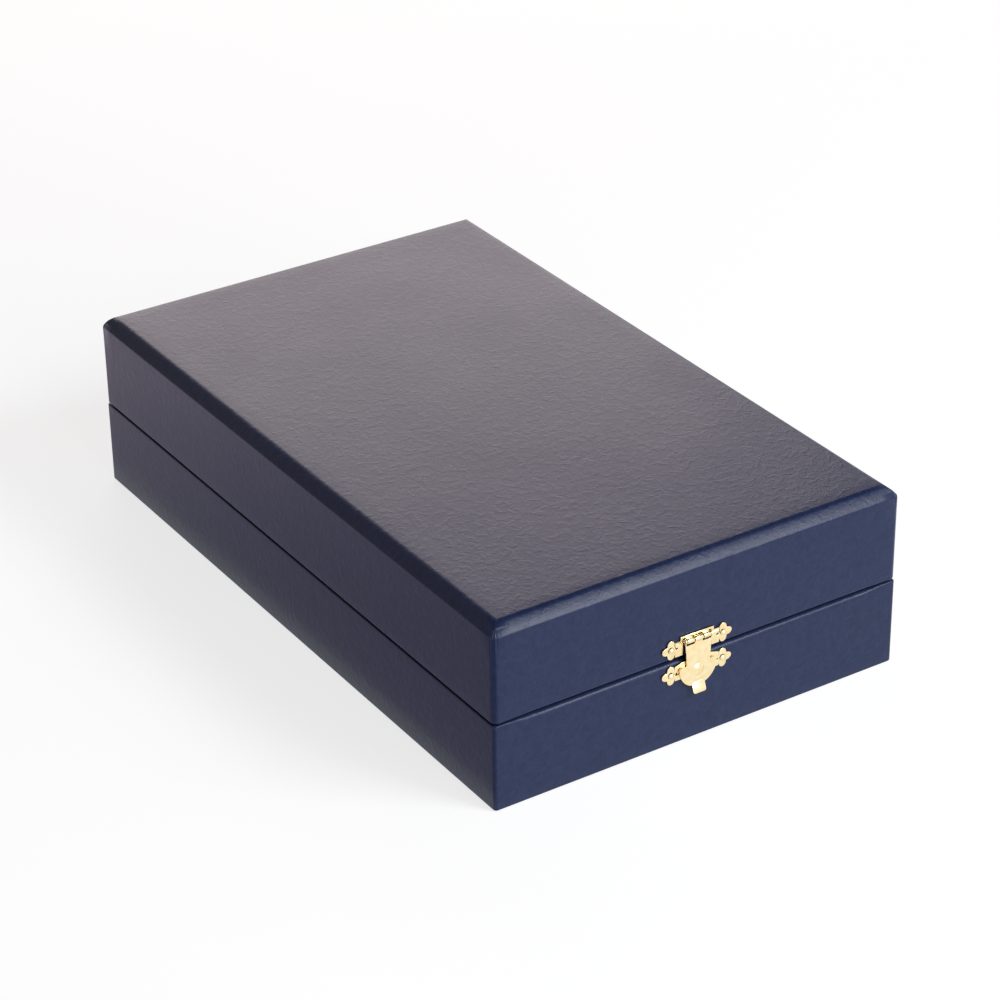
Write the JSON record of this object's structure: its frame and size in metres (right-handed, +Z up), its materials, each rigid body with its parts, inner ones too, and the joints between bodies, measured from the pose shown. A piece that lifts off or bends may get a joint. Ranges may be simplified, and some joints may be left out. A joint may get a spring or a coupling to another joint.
{
  "type": "plaque presentation box",
  "caption": "Covered presentation box for a plaque, with a stop-hinged padded lid, a snap hasp clasp and a recessed velvet insert.",
  "frame": {"origin": "middle of the flat underside, on the surface that the box stands on", "axes": "+X to the right across the clasp's face, +Y from the clasp's face to the hinges, +Z up through the lid"},
  "size_m": [0.151, 0.2558, 0.064],
  "materials": {
    "leatherette": "navy covering with a fine grain and a soft sheen",
    "board": "plain board core",
    "velvet": "navy velvet",
    "satin": "ivory satin",
    "paper": "dark matte sheet",
    "brass": "bright polished brass"
  },
  "bodies": {
    "base": {"base_cover": "leatherette", "underside_sheet": "paper", "base_floor_board": "board", "base_left_board": "board", "base_right_board": "board", "base_front_board": "board", "base_back_board": "board", "base_lining_left": "velvet", "base_lining_right": "velvet", "base_lining_front": "velvet", "base_lining_back": "velvet", "plaque_bed": "velvet", "plaque_frame": "velvet", "catch_plate": "brass", "catch_nail_left": "brass", "catch_nail_right": "brass", "hinge_base_leaf_left": "brass", "hinge_base_leaf_right": "brass", "hinge_pin_left": "brass", "hinge_pin_right": "brass", "hinge_base_nail_left_outer": "brass", "hinge_base_nail_left_inner": "brass", "hinge_base_nail_right_outer": "brass", "hinge_base_nail_right_inner": "brass"},
    "lid": {"lid_cover": "leatherette", "lid_top_board": "board", "lid_left_board": "board", "lid_right_board": "board", "lid_front_board": "board", "lid_back_board": "board", "lid_lining_left": "satin", "lid_lining_right": "satin", "lid_lining_front": "satin", "lid_lining_back": "satin", "lid_pad": "satin", "clasp_plate": "brass", "clasp_pin": "brass", "clasp_nail_left": "brass", "clasp_nail_right": "brass", "hinge_lid_leaf_left": "brass", "hinge_lid_leaf_right": "brass", "hinge_lid_nail_left_outer": "brass", "hinge_lid_nail_left_inner": "brass", "hinge_lid_nail_right_outer": "brass", "hinge_lid_nail_right_inner": "brass"},
    "hasp": {"hasp": "brass"}
  },
  "joints": [
    {"name": "lid_hinge", "type": "hinge", "parent": "base", "child": "lid", "pos_m": [0, 0.1261, 0.03055], "axis": [-1, 0, 0], "range_deg": [0, 100]},
    {"name": "hasp_swing", "type": "hinge", "parent": "lid", "child": "hasp", "pos_m": [-0.00235, -0.1256, 0.03665], "axis": [-1, 0, 0], "range_deg": [0, 130]}
  ]
}
